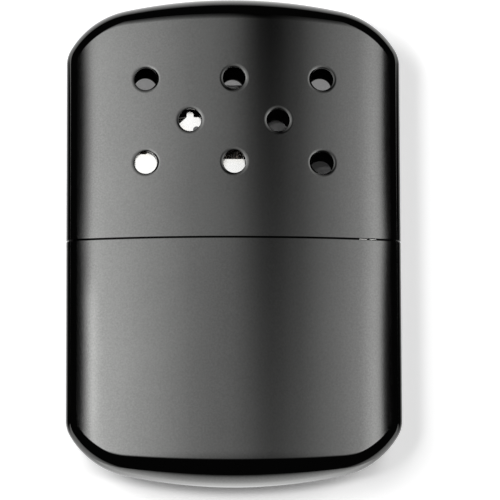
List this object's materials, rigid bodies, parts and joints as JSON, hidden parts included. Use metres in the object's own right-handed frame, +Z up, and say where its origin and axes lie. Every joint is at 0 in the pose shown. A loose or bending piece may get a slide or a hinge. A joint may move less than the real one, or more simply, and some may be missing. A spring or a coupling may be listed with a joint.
{
  "type": "catalytic hand warmer",
  "caption": "Flat pocket hand warmer with domed ends: a fuel tank half, a catalytic burner on its filling neck and a vented lid that slides over the tank's collar.",
  "frame": {"origin": "on the surface that the warmer lies on, under the middle of its width and length", "axes": "X across the width, +Y along the length towards the vented lid, +Z up out of the front face"},
  "size_m": [0.068, 0.1, 0.015],
  "materials": {
    "casing": "dark satin",
    "bright_cover": "polished",
    "solder": "dull",
    "plate_steel": "satin",
    "cotton": "fluffy",
    "felt": "pressed",
    "burner_bright": "polished",
    "catalyst": "fibrous",
    "gauze": "wire",
    "rivet_steel": "dark",
    "spring_steel": "bright"
  },
  "bodies": {
    "base": {"base_shell": "casing", "tank_cover": "bright_cover", "cover_seal": "solder", "filler_neck": "bright_cover", "neck_screen": "plate_steel", "wick_plug": "cotton", "felt_pad": "felt", "wadding_upper": "cotton", "wadding_front": "cotton", "wadding_rear": "cotton"},
    "burner": {"burner_housing": "burner_bright", "diffuser_plate": "plate_steel", "catalyst_mat": "catalyst", "mesh_front": "gauze", "mesh_rear": "gauze", "retainer_wires": "gauze", "burner_strap": "burner_bright", "housing_rivets": "rivet_steel", "grip_spring_left": "spring_steel", "grip_spring_right": "spring_steel"},
    "lid": {"lid_shell": "casing"}
  },
  "joints": [
    {"name": "lid_slide", "type": "slide", "parent": "base", "child": "lid", "axis": [0, 1, 0], "range_m": [0, 0.045]},
    {"name": "burner_slide", "type": "slide", "parent": "base", "child": "burner", "axis": [0, 1, 0], "range_m": [0, 0.008]}
  ]
}
